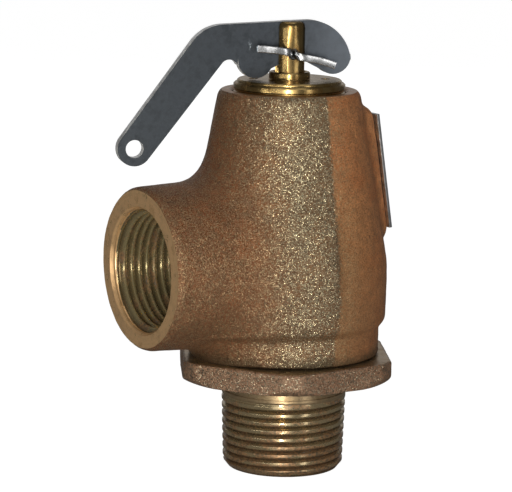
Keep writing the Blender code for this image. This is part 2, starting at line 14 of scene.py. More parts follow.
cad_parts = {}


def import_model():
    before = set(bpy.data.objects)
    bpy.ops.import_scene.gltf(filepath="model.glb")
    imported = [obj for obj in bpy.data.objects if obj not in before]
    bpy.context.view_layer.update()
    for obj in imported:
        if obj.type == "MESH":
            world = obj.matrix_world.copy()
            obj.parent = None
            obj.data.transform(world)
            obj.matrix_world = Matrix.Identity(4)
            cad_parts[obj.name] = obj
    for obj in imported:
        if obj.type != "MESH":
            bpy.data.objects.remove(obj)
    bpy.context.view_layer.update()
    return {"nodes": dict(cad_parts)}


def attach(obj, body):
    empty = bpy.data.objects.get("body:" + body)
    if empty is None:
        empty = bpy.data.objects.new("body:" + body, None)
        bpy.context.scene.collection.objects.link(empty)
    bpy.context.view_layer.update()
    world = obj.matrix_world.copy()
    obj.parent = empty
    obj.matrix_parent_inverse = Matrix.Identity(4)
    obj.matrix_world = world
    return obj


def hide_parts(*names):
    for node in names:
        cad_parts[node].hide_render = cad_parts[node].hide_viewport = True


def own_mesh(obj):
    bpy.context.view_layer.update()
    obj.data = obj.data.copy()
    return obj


MM = 0.001

# Driving dimensions, in mm and degrees
PITCH = 2.209  # 1 inch NPT
TAPER = 1 / 32  # how fast a pipe thread's radius grows along it
BODY_BOTTOM, BODY_TOP = 31.7, 102.3
OUTLET_Z, OUTLET_BORE_Z, OUTLET_REACH = 57.2, 56.8, 44.56
BOSS_RADIUS, BOSS_DRAFT, BOSS_ROOT = 22.2, 0.7, 26
OVERLAP = 0.5  # how far a casting goes past a face that is then cut
PAD_HALF_WIDTH, PAD_HALF_HEIGHT, PAD_DEPTH, PAD_STEP = 10.75, 17.6, 4.0, 1.15
PAD_PLACE, PAD_LEAN = (24.15, 0, 80.5), -9.2
DRIVE_SCREW_HEIGHTS = (12.5, -12.5)  # from the pad's middle
FLANGE_BOTTOM, FLANGE_TOP, FLANGE_TURN = 25.3, 31.4, 33
ACROSS_FLATS, ACROSS_CORNERS, FLANGE_FOOT_RADIUS, FLANGE_FOOT_HEIGHT = 55.6, 61.4, 28.9, 1.7
MALE_THREAD_TOP, MALE_THREAD_RADIUS = 20.4, 16.2
STEM_RADIUS = 3.97
PIVOT_Z, PIN_HOLE_RADIUS = 112.1, 1.55
LEVER_AZIMUTH, LEVER_THICKNESS = 163.7, 3.0
LEVER_END, LEVER_ANGLE, LEVER_WIDTH = (42.1, -24.8), -53.4, 9.2
SCREW_TOP = 105.2
SPRING_BOTTOM, SPRING_TOP, SPRING_RADIUS, WIRE_RADIUS, SPRING_TURNS = 65.7, 91.0, 11.5, 1.6, 4.5


# Meshes


def object_of(name, points, faces, smooth_below=35.0):
    """A mesh object from points in metres."""
    mesh = bpy.data.meshes.new(name)
    mesh.from_pydata([tuple(p) for p in points], [], [tuple(f) for f in faces])
    mesh.validate()
    obj = bpy.data.objects.new(name, mesh)
    bpy.context.scene.collection.objects.link(obj)
    return shaded(obj, smooth_below)


def shaded(obj, smooth_below=35.0):
    """Shades an object smooth, with edges sharper than an angle in degrees left sharp."""
    obj.data.shade_smooth()
    obj.data.set_sharp_from_angle(angle=radians(smooth_below))
    return obj


def tidied(obj):
    """Merges points that meet, closes what is open and turns every face outwards."""
    shape = bmesh.new()
    shape.from_mesh(obj.data)
    bmesh.ops.remove_doubles(shape, verts=shape.verts, dist=1e-7)
    bmesh.ops.dissolve_degenerate(shape, edges=shape.edges, dist=1e-8)
    bmesh.ops.holes_fill(shape, edges=[e for e in shape.edges if e.is_boundary], sides=0)
    bmesh.ops.recalc_face_normals(shape, faces=shape.faces)
    shape.to_mesh(obj.data)
    shape.free()
    return obj


def lathe(name, profile, steps=128, matrix=Matrix()):
    """A closed solid of revolution about Z, from a profile of (radius, height) in mm."""
    rings = np.array(profile, float) * MM
    angles = np.arange(steps) * 2 * pi / steps
    across = np.stack([np.cos(angles), np.sin(angles)])
    points = []
    for radius, height in rings:
        points += [(radius * c, radius * s, height) for c, s in across.T]
    count = len(rings)
    loop = range(count) if rings[0][0] > 1e-9 else range(count - 1)
    faces = []
    for i in loop:
        a, b = i * steps, (i + 1) % count * steps
        faces += [(a + j, a + (j + 1) % steps, b + (j + 1) % steps, b + j) for j in range(steps)]
    obj = object_of(name, points, faces)
    obj.data.transform(matrix)
    return shaded(tidied(obj))


def boolean(obj, operation, *others):
    """Cuts or joins solids, then removes the tools."""
    for other in others:
        modifier = obj.modifiers.new(other.name, "BOOLEAN")
        modifier.operation = operation
        modifier.object = other
        modifier.solver = "MANIFOLD"
    bpy.context.view_layer.update()
    mesh = bpy.data.meshes.new_from_object(obj.evaluated_get(bpy.context.evaluated_depsgraph_get()))
    obj.modifiers.clear()
    obj.data = mesh
    for other in others:
        bpy.data.objects.remove(other)
    return obj


def box(name, low, high, matrix=Matrix()):
    """A box between two corners in mm."""
    shape = bmesh.new()
    bmesh.ops.create_cube(shape, size=1)
    low, high = Vector(low) * MM, Vector(high) * MM
    bmesh.ops.scale(shape, vec=high - low, verts=shape.verts)
    bmesh.ops.translate(shape, vec=(low + high) / 2, verts=shape.verts)
    mesh = bpy.data.meshes.new(name)
    shape.to_mesh(mesh)
    shape.free()
    obj = bpy.data.objects.new(name, mesh)
    bpy.context.scene.collection.objects.link(obj)
    obj.data.transform(matrix)
    return obj


def softened(obj, width, segments=3, angle=30.0):
    """Rounds every edge sharper than an angle, for good."""
    bevel = obj.modifiers.new("Soft edges", "BEVEL")
    bevel.width = width * MM
    bevel.segments = segments
    bevel.limit_method = "ANGLE"
    bevel.angle_limit = radians(angle)
    bevel.use_clamp_overlap = True
    bpy.context.view_layer.update()
    mesh = bpy.data.meshes.new_from_object(obj.evaluated_get(bpy.context.evaluated_depsgraph_get()))
    obj.modifiers.clear()
    obj.data = mesh
    return shaded(obj, 50)


def threaded_rod(name, low, high, radius_at, depth, fade, crest, root, power, steps=144, matrix=Matrix()):
    """A closed solid with a right-hand helical thread.

    fade(z) is 1 where the thread is whole. crest and root are half of their widths, in pitches. A power
    over 1 rounds the crest, and one under 1 rounds the root.
    """
    rows = 14
    from_crest = 0.5 - np.abs(np.arange(rows) / rows - 0.5)
    flank = np.clip((from_crest - crest) / (0.5 - crest - root), 0, 1)
    depths = np.append(flank, flank[0]) ** power
    turns = ceil((high - low) / PITCH) + 1
    base = low - PITCH + PITCH * np.arange(turns * rows + 1) / rows
    column = np.arange(steps + 1) / steps
    z = np.clip(base[:, None] + PITCH * column[None, :], low, high)
    phase = ((z - low) / PITCH - column[None, :]) % 1
    radius = radius_at(z) - depth * np.interp(phase, np.arange(rows + 1) / rows, depths) * fade(z)
    angle = 2 * pi * column[None, :] + 0 * z
    points = np.stack([radius * np.cos(angle), radius * np.sin(angle), z], -1).reshape(-1, 3) * MM
    wide = steps + 1
    faces = [
        (r * wide + c, r * wide + c + 1, (r + 1) * wide + c + 1, (r + 1) * wide + c)
        for r in range(len(base) - 1)
        for c in range(steps)
    ]
    obj = object_of(name, points, faces)
    obj.data.transform(matrix)
    return shaded(tidied(obj), 60)


# Signed distance fields, for the castings


def smooth_min(a, b, k):
    """The smaller of two distances, blended over k mm where they meet."""
    h = np.clip(k - np.abs(a - b), 0, None) / k
    return np.minimum(a, b) - h * h * k / 4


def smooth_max(a, b, k):
    return -smooth_min(-a, -b, k)


def outline_of(points):
    """A cast outline, softened at its corners: radius and slope as functions of height."""
    spacing, spread, reach = 0.1, 4.5, 30
    heights = np.arange(points[0][0], points[-1][0], spacing)
    radii = np.interp(heights, *np.array(points).T)
    window = np.exp(-0.5 * (np.arange(-reach, reach + 1) / spread) ** 2)
    radii = np.convolve(np.pad(radii, reach, "edge"), window / window.sum(), "valid")
    return heights, radii, np.gradient(radii, heights)


# The body's radius at each height: the skirt, the belly above its step, and the cone
BODY_OUTLINE = outline_of(
    [
        (20, 25.4), (38.9, 25.35), (39.5, 25.6), (40.9, 26.85), (42, 27.1), (49.6, 27.25), (55, 27.15),
        (57.5, 26.95), (61.1, 26.4), (101.4, 18.98), (115, 16.5),
    ]
)


def pad_frame(inset):
    """The nameplate's frame: X out of its face, moved in by this many mm."""
    face = Matrix.Translation(Vector(PAD_PLACE) * MM) @ Matrix.Rotation(radians(PAD_LEAN), 4, "Y")
    return face @ Matrix.Translation((-inset * MM, 0, 0))


def across_plate(height):
    """The axis of a drive screw in the nameplate's frame, this many mm above its middle."""
    return Matrix.Translation((0, 0, height * MM)) @ Matrix.Rotation(pi / 2, 4, "Y")


def body_field(p):
    """The body casting: its shell, the outlet's boss and the nameplate's pad, blended together."""
    x, y, z = p[:, 0], p[:, 1], p[:, 2]
    heights, radii, slopes = BODY_OUTLINE
    slope = np.interp(z, heights, slopes)
    shell = (np.hypot(x, y) - np.interp(z, heights, radii)) / np.sqrt(1 + slope**2)
    shell = smooth_max(shell, z - (BODY_TOP + OVERLAP), 2.4)
    shell = smooth_max(shell, BODY_BOTTOM - z, 0.9)
    radius = BOSS_RADIUS - BOSS_DRAFT * np.clip((-x - BOSS_ROOT) / (OUTLET_REACH - BOSS_ROOT), 0, 1)
    boss = smooth_max(np.hypot(y, z - OUTLET_Z) - radius, -x - (OUTLET_REACH + OVERLAP), 2.6)
    boss = np.maximum(boss, x + 6)
    tilt = np.array(pad_frame(PAD_STEP + PAD_DEPTH).inverted())
    local = p @ tilt[:3, :3].T + tilt[:3, 3] / MM + np.array([0, 0, 0.2])
    half, rounding = np.array([PAD_HALF_WIDTH, PAD_HALF_HEIGHT]), 3.0
    q = np.abs(local[:, 1:]) - (half - rounding)
    pad = np.linalg.norm(np.maximum(q, 0), axis=1) + np.minimum(q.max(1), 0) - rounding
    pad = smooth_max(pad, np.abs(local[:, 0]) - PAD_DEPTH, 1.6)
    return smooth_min(smooth_min(shell, boss, 9.0), pad, 3.0)


def flange_field(p):
    """The nozzle's hexagon, its corners turned round and its underside coned."""
    x, y, z = p[:, 0], p[:, 1], p[:, 2]
    sides = np.full(len(p), -1e9)
    for i in range(6):
        a = radians(FLANGE_TURN + 60 * i)
        sides = smooth_max(sides, x * cos(a) + y * sin(a) - ACROSS_FLATS / 2, 0.5)
    r = np.hypot(x, y)
    sides = smooth_max(sides, r - ACROSS_CORNERS / 2, 0.3)
    spread = (ACROSS_CORNERS / 2 - FLANGE_FOOT_RADIUS) / FLANGE_FOOT_HEIGHT
    under = (r - FLANGE_FOOT_RADIUS - (z - FLANGE_BOTTOM) * spread) * 0.69  # a slope of 1, nearly
    solid = smooth_max(smooth_max(sides, z - FLANGE_TOP, 0.9), FLANGE_BOTTOM - z, 0.3)
    return smooth_max(solid, under, 0.5)


def cast_mesh(name, field, low, high, step, relief):
    """A closed mesh where the field crosses zero, each point pulled onto it, then slightly uneven."""
    axes = [np.arange(a, b + step, step) for a, b in zip(low, high)]
    grid = np.stack(np.meshgrid(*axes, indexing="ij"), -1)
    size = grid.shape[:3]
    values = np.concatenate([field(slab) for slab in np.array_split(grid.reshape(-1, 3), 12)]).reshape(size)
    inside = values < 0
    cells = tuple(n - 1 for n in size)
    corners = [(i, j, k) for i in (0, 1) for j in (0, 1) for k in (0, 1)]

    def part(array, shift):
        return array[tuple(slice(s, s + n) for s, n in zip(shift, cells))]

    total = sum(part(inside, c).astype(np.int8) for c in corners)
    where = np.argwhere((total > 0) & (total < 8))
    number = np.full(cells, -1, np.int64)
    number[tuple(where.T)] = np.arange(len(where))
    sums, counts = np.zeros((len(where), 3)), np.zeros(len(where))
    at = {c: tuple((where + c).T) for c in corners}
    for c in corners:
        for axis in range(3):
            if c[axis]:
                continue
            d = tuple(v + (i == axis) for i, v in enumerate(c))
            a, b = values[at[c]], values[at[d]]
            cross = (a < 0) != (b < 0)
            t = np.where(cross, a / np.where(cross, a - b, 1), 0)
            point = where + np.array(c, float)
            point[:, axis] += t
            sums[cross] += point[cross]
            counts += cross
    points = np.array([a[0] for a in axes]) + sums / counts[:, None] * step
    faces = []
    for axis in range(3):
        u, v = (axis + 1) % 3, (axis + 2) % 3
        one = np.moveaxis(inside, (axis, u, v), (0, 1, 2))
        edge = np.argwhere(one[:-1, 1:-1, 1:-1] != one[1:, 1:-1, 1:-1])
        edge[:, 1:] += 1
        outward = one[tuple(edge.T)]
        cell = np.moveaxis(number, (axis, u, v), (0, 1, 2))
        a, b, c = edge.T
        quad = np.stack([cell[a, b - 1, c - 1], cell[a, b, c - 1], cell[a, b, c], cell[a, b - 1, c]], 1)
        quad[~outward] = quad[~outward][:, ::-1]
        faces.append(quad)
    faces = np.concatenate(faces)
    probe = 0.02
    for _ in range(2):
        slope = [(field(points + e) - field(points - e)) / (2 * probe) for e in probe * np.eye(3)]
        slope = np.stack(slope, 1)
        slope /= np.maximum((slope**2).sum(1), 0.25)[:, None]
        points -= np.clip(field(points)[:, None] * slope, -step / 2, step / 2)
    normal = slope / np.linalg.norm(slope, axis=1)[:, None]
    points += normal * np.array([relief(Vector(p)) for p in points])[:, None]
    return object_of(name, points * MM, faces.tolist(), 60)


def sand_relief(p):
    """The unevenness of a sand casting, in mm: long waves, short waves and the mould's parting step."""
    waves = 0.16 * noise.noise(p / 11) + 0.07 * noise.noise(p / 3.1) + 0.03 * noise.noise(p / 1.2)
    parted = 0.06 * min(1.0, max(0.0, (p.x + 0.6) / 1.2))
    return waves - parted if 33 < p.z < 101 else 0.0


def flange_relief(p):
    """The unevenness of the cast hexagon, in mm. Its underside is turned."""
    return 0.08 * noise.noise(p / 5) + 0.05 * noise.noise(p / 1.6) if p.z > FLANGE_BOTTOM + 0.5 else 0.0


# Materials


def tinted(colour, *factors):
    """A colour times one factor, or times one for each channel."""
    return tuple(c * k for c, k in zip(colour, factors * 3))


class Finish:
    """One node material, built up by short calls. Its noises and grains sit still on the piece."""

    def __init__(self, name, colour=(0.5, 0.5, 0.5), metallic=1.0, roughness=0.4):
        self.material = bpy.data.materials.new(name)
        self.material.use_nodes = True
        self.tree = self.material.node_tree
        self.shader = self.tree.nodes["Principled BSDF"]
        self.shader.inputs["Base Color"].default_value = (*colour, 1)
        self.shader.inputs["Metallic"].default_value = metallic
        self.shader.inputs["Roughness"].default_value = roughness
        self.place = self.add("ShaderNodeTexCoord").outputs["Object"]

    def add(self, kind, inputs=(), **settings):
        made = self.tree.nodes.new(kind)
        for key, value in settings.items():
            setattr(made, key, value)
        for key, value in dict(inputs).items():
            self.feed(made.inputs[key], value)
        return made

    def feed(self, socket, value):
        if isinstance(value, bpy.types.NodeSocket):
            self.tree.links.new(value, socket)
        else:
            socket.default_value = value

    def noise(self, size, detail=2.0, roughness=0.5, where=None):
        """Fractal noise whose features are about this many mm across, from 0 to 1."""
        inputs = {"Vector": where or self.place, "Scale": 1 / (size * MM), "Detail": detail}
        inputs["Roughness"] = roughness
        return self.add("ShaderNodeTexNoise", inputs).outputs["Fac"]

    def mix(self, factor, a, b):
        """Colour a where the factor is 0, and colour b where it is 1."""
        made = self.add("ShaderNodeMix", data_type="RGBA")
        for index, value in ((0, factor), (6, a), (7, b)):
            self.feed(made.inputs[index], (*value, 1) if isinstance(value, tuple) else value)
        return made.outputs[2]

    def math(self, operation, a, b):
        return self.add("ShaderNodeMath", {0: a, 1: b}, operation=operation).outputs[0]

    def times(self, a, b):
        return self.math("MULTIPLY", a, b)

    def vector(self, operation, a, b=(0, 0, 0)):
        return self.add("ShaderNodeVectorMath", {0: a, 1: b}, operation=operation).outputs[0]

    def between(self, value, low, high, to_low=0.0, to_high=1.0):
        """An easy step: to_low where the value is under low, and to_high where it is over high."""
        inputs = {"Value": value, "From Min": low, "From Max": high, "To Min": to_low, "To Max": to_high}
        return self.add("ShaderNodeMapRange", inputs, interpolation_type="SMOOTHSTEP").outputs["Result"]

    def axis(self, name, where=None):
        return self.add("ShaderNodeSeparateXYZ", {0: where or self.place}).outputs[name]

    def bump(self, height, strength, distance, below=None):
        inputs = {"Height": height, "Strength": strength, "Distance": distance * MM}
        if below:
            inputs["Normal"] = below
        return self.add("ShaderNodeBump", inputs).outputs["Normal"]

    def grains(self, size):
        """Grains about this many mm across: a number from 0 to 1 and a direction for each."""
        cells = self.add("ShaderNodeTexVoronoi", {"Vector": self.place, "Scale": 1 / (size * MM)})
        colour = cells.outputs["Color"]
        number = self.add("ShaderNodeTexWhiteNoise", {"Vector": colour}).outputs["Value"]
        return number, self.vector("SUBTRACT", colour, (0.5, 0.5, 0.5))

    def faceted(self, normal, direction, amount):
        """Turns a normal towards each grain's own direction."""
        inputs = {0: direction, "Scale": amount}
        turned = self.add("ShaderNodeVectorMath", inputs, operation="SCALE").outputs[0]
        return self.vector("NORMALIZE", self.vector("ADD", normal, turned))

    def turned(self, centre, along, size):
        """A noise that changes only with distance from an axis and along it, as tool marks do."""
        radius, height = self.polar(centre, along)
        line = self.add("ShaderNodeCombineXYZ", {0: radius, 1: height}).outputs[0]
        return self.noise(size, 3.0, 0.6, line)

    def polar(self, centre, along):
        """The distance from an axis, and the distance along it."""
        moved = self.vector("SUBTRACT", self.place, centre)
        others = [self.axis(a, moved) for a in "XYZ" if a != along]
        across = self.add("ShaderNodeCombineXYZ", {0: others[0], 1: others[1]}).outputs[0]
        radius = self.add("ShaderNodeVectorMath", {0: across}, operation="LENGTH").outputs["Value"]
        return radius, self.axis(along, moved)

    def set(self, **values):
        """Feeds the shader, and returns the finished material."""
        names = {"colour": "Base Color", "roughness": "Roughness", "metallic": "Metallic", "normal": "Normal"}
        for key, value in values.items():
            self.feed(self.shader.inputs[names[key]], value)
        return self.material


def cast_bronze():
    """Shot-blasted sand casting: brown, with glinting metal grains that are rarer on the nameplate's half.
    Light is painted in: the band facing the key is olive with paler grains, and the boss's side is redder
    with fewer grains, as shade.
    """
    f = Finish("cast_bronze")
    grain = f.noise(0.4, 3.0, 0.7)
    patch = f.noise(9.0, 3.0, 0.6)
    blotch = f.noise(2.4, 3.0, 0.6)
    x, z = f.axis("X"), f.axis("Z")
    ragged = f.math("ADD", x, f.times(f.math("SUBTRACT", blotch, 0.5), 0.003))
    side = f.between(ragged, -0.0006, 0.0008)  # 1 on the nameplate's half
    painted_lit_band = f.between(ragged, -0.024, -0.009)  # painted light: 1 in the band facing the key light, 0 out on the boss
    cell, coarse = f.grains(0.205)
    fine = f.grains(0.15)[1]
    tilt = f.vector("ADD", coarse, fine)

    flake = f.times(f.between(cell, 0.4, 0.95), f.between(x, 0.0, 0.009, 1.0, 0.2))
    flake = f.times(flake, f.between(side, 0.0, 1.0, 1.0, 0.7))
    # Painted shade: fewer glinting grains out on the boss, which faces away from the key light.
    flake = f.times(flake, f.between(painted_lit_band, 0.0, 1.0, 0.7, 1.0))

    # Painted light: olive earth in the band facing the key, redder earth out on the boss.
    earth = f.mix(side, f.mix(painted_lit_band, (0.235, 0.086, 0.031), (0.18, 0.098, 0.045)), (0.60, 0.255, 0.102))
    dull = f.mix(side, f.mix(painted_lit_band, (0.175, 0.068, 0.028), (0.13, 0.074, 0.035)), (0.40, 0.170, 0.069))
    warm = f.mix(side, f.mix(painted_lit_band, (0.31, 0.105, 0.036), (0.27, 0.13, 0.052)), (0.52, 0.178, 0.060))
    earth = f.mix(f.between(blotch, 0.35, 0.65), earth, dull)
    earth = f.mix(f.between(patch, 0.45, 0.68, 0.0, 0.7), earth, warm)
    near_parting = f.times(f.between(x, 0.002, 0.018, 0.65, 0.0), f.between(z, 0.058, 0.088, 1.0, 0.0))
    earth = f.mix(f.times(side, near_parting), earth, (0.37, 0.19, 0.078))
    earth = f.mix(f.between(z, 0.040, 0.075, 0.35, 0.0), earth, (0.19, 0.095, 0.050))
    earth = f.mix(f.between(grain, 0.32, 0.52, 0.75, 0.0), earth, (0.08, 0.042, 0.022))

    # Painted highlight: paler grains in the band facing the key.
    metal = f.mix(painted_lit_band, (0.52, 0.385, 0.22), (0.56, 0.49, 0.33))
    colour = f.mix(flake, earth, f.mix(side, metal, (0.62, 0.44, 0.24)))
    # Partly a greenish stain, partly painted shade: the body's foot darkens where it meets the hexagon.
    foot_stain_and_shade = f.between(f.math("ADD", z, f.times(blotch, 0.006)), 0.0352, 0.0385, 0.7, 0.0)
    colour = f.mix(foot_stain_and_shade, colour, (0.055, 0.042, 0.022))
    normal = f.bump(f.math("ADD", grain, f.times(blotch, 0.5)), 0.5, 0.3)
    normal = f.faceted(normal, tilt, f.between(side, 0.0, 1.0, 0.6, 0.35))
    rough = f.between(flake, 0.0, 1.0, 0.6, 0.25)
    metallic = f.between(flake, 0.0, 1.0, 0.4, 1.0)
    return f.set(colour=colour, roughness=rough, metallic=metallic, normal=normal)


def flange_bronze():
    """The hexagon's cast sides: pinker and duller than the body, with a pale scale on it."""
    f = Finish("flange_bronze")
    grain = f.noise(0.45, 3.0, 0.7)
    patch = f.noise(5.0, 3.0, 0.6)
    cell, tilt = f.grains(0.27)
    flake = f.between(cell, 0.5, 0.95)
    colour = f.mix(f.between(patch, 0.38, 0.62), (0.26, 0.142, 0.085), (0.32, 0.19, 0.12))
    colour = f.mix(f.between(grain, 0.35, 0.52, 0.6, 0.0), colour, (0.12, 0.065, 0.04))
    colour = f.mix(flake, colour, (0.35, 0.29, 0.21))
    normal = f.faceted(f.bump(grain, 0.8, 0.25), tilt, 0.6)
    rough = f.between(flake, 0.0, 1.0, 0.6, 0.32)
    metallic = f.between(flake, 0.0, 1.0, 0.4, 1.0)
    return f.set(colour=colour, roughness=rough, metallic=metallic, normal=normal)


def machined_bronze(name, centre, along, tan, shine=0.6):
    """Turned bronze, tan and satin, with fine circular tool marks and a blotchy tarnish."""
    f = Finish(name, metallic=shine)
    marks = f.turned(centre, along, 0.22)
    patch = f.noise(4.0, 4.0, 0.7)
    speck = f.noise(0.6, 2.0, 0.6)
    dark = tinted(tan, 0.45)
    colour = f.mix(f.between(patch, 0.35, 0.55), tan, tinted(tan, 1.2))
    colour = f.mix(f.between(patch, 0.54, 0.7, 0.0, 0.6), colour, tinted(tan, 0.62, 0.52, 0.42))
    colour = f.mix(f.between(marks, 0.5, 0.72, 0.0, 0.7), colour, dark)
    colour = f.mix(f.between(speck, 0.6, 0.75, 0.0, 0.5), colour, dark)
    normal = f.bump(marks, 0.4, 0.05, f.bump(speck, 0.25, 0.06))
    return f.set(colour=colour, roughness=f.between(patch, 0.3, 0.7, 0.26, 0.4), normal=normal)


def thread_bronze(name, centre, along, crest, groove, bright, tarnish_below):
    """A cut thread: clean metal on its crests, its grooves darkened by painted shade and some grime, with
    streaks of dirt and tarnish round it.

    crest and groove are radii in mm at the centre's height, tarnish_below a height in mm.
    """
    f = Finish(name)
    squeeze = (1, 1, 3.5) if along == "Z" else (3.5, 1, 1)
    streak = f.noise(6.0, 4.0, 0.7, f.vector("MULTIPLY", f.place, squeeze))
    speck = f.noise(0.6, 3.0, 0.65)
    marks = f.turned(centre, along, 0.2)
    radius, height = f.polar(centre, along)
    level = f.math("SUBTRACT", radius, f.times(height, TAPER if along == "Z" else -TAPER))
    low = f.between(f.axis("Z"), (tarnish_below - 7) * MM, (tarnish_below + 7) * MM, 0.12, 0.0)
    worn = f.between(f.math("ADD", streak, low), 0.47, 0.62, 0.0, 0.9)
    tarnish = f.mix(f.between(speck, 0.4, 0.6), (0.34, 0.18, 0.085), (0.10, 0.07, 0.045))
    colour = f.mix(worn, bright, tarnish)
    colour = f.mix(f.between(speck, 0.56, 0.72, 0.0, 0.5), colour, (0.11, 0.085, 0.06))
    # Painted shade, with some grime: darker from the crest's radius towards the groove's.
    colour = f.mix(f.between(level, crest * MM, groove * MM, 0.0, 0.6), colour, (0.08, 0.05, 0.028))
    scuff = f.times(f.between(streak, 0.62, 0.7), f.between(speck, 0.5, 0.6))
    colour = f.mix(f.times(scuff, 0.6), colour, (0.40, 0.37, 0.33))
    normal = f.bump(speck, 0.2, 0.06, f.bump(marks, 0.25, 0.04))
    rough = f.between(worn, 0.0, 0.9, 0.17, 0.36)
    metallic = f.between(worn, 0.0, 0.9, 0.8, 0.5)
    return f.set(colour=colour, roughness=rough, metallic=metallic, normal=normal)


def turned_brass():
    """Turned brass with fine tool marks round the stem's axis."""
    f = Finish("turned_brass")
    marks = f.turned((0, 0, 0), "Z", 0.22)
    patch = f.noise(3.0, 3.0, 0.6)
    colour = f.mix(f.between(patch, 0.35, 0.7), (0.40, 0.28, 0.115), (0.28, 0.17, 0.060))
    colour = f.mix(f.between(marks, 0.55, 0.8, 0.0, 0.3), colour, (0.42, 0.24, 0.08))
    rough = f.between(patch, 0.3, 0.7, 0.2, 0.3)
    return f.set(colour=colour, roughness=rough, normal=f.bump(marks, 0.3, 0.04))


def zinc_steel(name, base, roughness, painted_sheen=0.0, metallic=1.0):
    """Zinc-plated steel, faintly mottled. It can carry a painted sheen, growing lighter towards the
    nameplate's side.
    """
    f = Finish(name, metallic=metallic)
    patch = f.noise(2.6, 4.0, 0.6)
    fine = f.noise(0.35, 2.0, 0.5)
    colour = f.mix(f.between(patch, 0.35, 0.68), base, tinted(base, 0.5))
    colour = f.mix(f.between(fine, 0.5, 0.75, 0.0, 0.25), colour, tinted(base, 1.35))
    if painted_sheen:
        # Painted sheen: lighter towards +X, where the lever's lobes are, as if they caught more light.
        colour = f.mix(f.between(f.axis("X"), -0.001, 0.012, 0.0, painted_sheen), colour, tinted(base, 2.0))
    rough = f.between(patch, 0.3, 0.7, roughness * 0.85, roughness * 1.2)
    normal = f.bump(fine, 0.12, 0.05, f.bump(patch, 0.12, 0.15))
    return f.set(colour=colour, roughness=rough, normal=normal)


def plain_finish(name, colour, metallic, roughness, size):
    """A quieter finish for the inner pieces, with slight mottling and grain."""
    f = Finish(name, metallic=metallic, roughness=roughness)
    patch = f.noise(size, 3.0, 0.6)
    colour = f.mix(f.between(patch, 0.35, 0.7), colour, tinted(colour, 0.8))
    return f.set(colour=colour, normal=f.bump(patch, 0.15, 0.05))


def dress(obj, *materials):
    """Gives an object these materials in place of its own, and returns it."""
    obj.data.materials.clear()
    for material in materials:
        obj.data.materials.append(material)
    return obj


def paint_faces(obj, choose):
    """Gives each face the material number that choose(centres, normals) returns."""
    mesh = obj.data
    count = len(mesh.polygons)
    centres, normals = np.empty(count * 3), np.empty(count * 3)
    mesh.polygons.foreach_get("center", centres)
    mesh.polygons.foreach_get("normal", normals)
    mesh.polygons.foreach_set("material_index", choose(centres.reshape(-1, 3) / MM, normals.reshape(-1, 3)))


# Pieces


def body_piece():
    """The body casting: cast outside, machined outlet face, threaded outlet, bored inside."""
    body = cast_mesh("body_casting", body_field, (-47.5, -29.5, 29.5), (30.5, 29.5, 104.5), 0.55, sand_relief)
    along = Matrix.Translation((0, 0, OUTLET_BORE_Z * MM)) @ Matrix.Rotation(-pi / 2, 4, "Y")
    thread_start, thread_end = OUTLET_REACH - 18.5, OUTLET_REACH - 1.3
    thread = threaded_rod(
        "outlet_thread",
        thread_start,
        OUTLET_REACH + 1,
        lambda t: 16.35 - TAPER * (OUTLET_REACH - t),
        1.35,
        lambda t: np.clip((thread_end - t) / 1.6, 0, 1),
        crest=0.05,
        root=0.1,
        power=0.85,
        matrix=along,
    )
    mouth = [(0, 46.5), (17.0, 46.5), (17.0, OUTLET_REACH + 0.05), (15.9, thread_end), (0, thread_end)]
    passage = [
        (0, thread_start + 0.5), (14.9, thread_start + 0.5), (14.4, thread_start - 0.6), (14.4, 15), (0, 15),
    ]
    inner = [
        (0, 104), (15.9, 104), (15.9, BODY_TOP + 0.01), (15.3, BODY_TOP - 0.6), (15.3, 93.6), (16.8, 92),
        (20.9, 70), (23.2, 60), (23.2, 40.6), (20.9, 39), (20.9, 33), (24, 33), (24, 29), (0, 29),
    ]
    face = box("face_cut", (-60, -40, 20), (-OUTLET_REACH, 40, 110))
    top = box("top_cut", (-40, -40, BODY_TOP), (40, 40, 112))
    tools = (thread, lathe("mouth", mouth, matrix=along), lathe("passage", passage, matrix=along))
    boolean(body, "DIFFERENCE", face, top, lathe("cavity", inner), *tools)
    for end in DRIVE_SCREW_HEIGHTS:
        hole = lathe("pin_hole", [(0, 2), (1.3, 2), (1.3, -3.2), (0, -3.2)], 24)
        hole.data.transform(pad_frame(0) @ across_plate(end))
        boolean(body, "DIFFERENCE", hole)
    outlet = (-OUTLET_REACH * MM, 0, OUTLET_BORE_Z * MM)
    dress(
        body,
        cast_bronze(),
        machined_bronze("machined_face", outlet, "X", (0.68, 0.43, 0.22)),
        thread_bronze("outlet_thread_bronze", outlet, "X", 15.2, 16.4, (0.52, 0.42, 0.22), 0),
        machined_bronze("machined_rim", (0, 0, 0), "Z", (0.40, 0.23, 0.12)),
    )

    def choose(c, n):
        cast, face, thread, rim = range(4)
        index = np.full(len(c), cast, np.int32)
        from_bore = np.hypot(c[:, 1], c[:, 2] - OUTLET_BORE_Z)
        index[(c[:, 0] < -OUTLET_REACH + 0.02) & (n[:, 0] < -0.95)] = face
        index[(from_bore < 17.05) & (c[:, 0] < -24) & (c[:, 0] > -OUTLET_REACH + 0.02)] = thread
        index[(from_bore > 15.8) & (from_bore < 17.05) & (c[:, 0] < -OUTLET_REACH + 1.5)] = face
        radius = np.hypot(c[:, 0], c[:, 1])
        index[(c[:, 2] > BODY_TOP - 0.02) & (radius < 19.5)] = rim
        index[(radius < 16.0) & (c[:, 2] > 90)] = rim
        return index

    paint_faces(body, choose)
    return shaded(body, 28)


